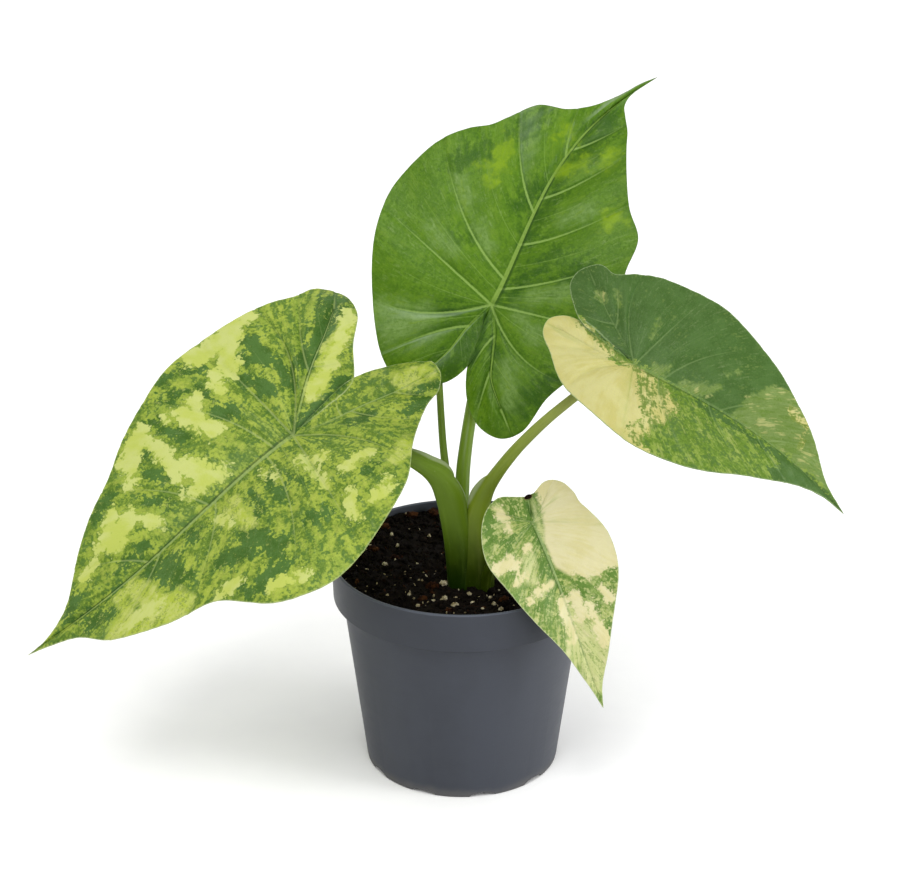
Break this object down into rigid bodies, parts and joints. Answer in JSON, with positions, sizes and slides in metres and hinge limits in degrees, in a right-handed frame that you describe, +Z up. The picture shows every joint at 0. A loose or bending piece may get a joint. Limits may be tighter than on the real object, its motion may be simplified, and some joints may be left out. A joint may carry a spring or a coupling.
{
  "type": "potted variegated giant taro",
  "caption": "Young giant taro plant with large mottled green and cream arrow-shaped leaves on curved stalks, growing in a round plastic nursery pot.",
  "frame": {"origin": "on the pot's axis, in the flat underside that the pot stands on", "axes": "+Z up; +X toward the largest right-hand leaf seen from the front; -Y is the front"},
  "size_m": [0.355, 0.2341, 0.299],
  "materials": {
    "pot_plastic": "satin blue-grey polypropylene with a thin paler lip",
    "potting_mix": "damp near-black peat with white perlite, tan grit and reddish bark",
    "stalk": "smooth satin olive green, paler at the sheath edges and darker at the soil",
    "blade_lime": "satin leaf, yellow-lime mottled with dark green",
    "blade_green": "satin leaf, bright green with pale veins and faint lime mottling",
    "blade_dark": "satin leaf, dark green with a cream sector and mottled lower half",
    "blade_cream": "satin leaf, cream half and green and cream mottled half"
  },
  "bodies": {
    "root": {"pot": "pot_plastic", "soil": "potting_mix", "stem": "stalk", "petiole_1": "stalk", "petiole_2": "stalk", "petiole_3": "stalk", "petiole_4": "stalk", "petiole_5": "stalk", "leaf_1": "blade_lime", "leaf_2": "blade_green", "leaf_3": "blade_dark", "leaf_4": "blade_cream", "leaf_5": "blade_green"}
  },
  "joints": []
}
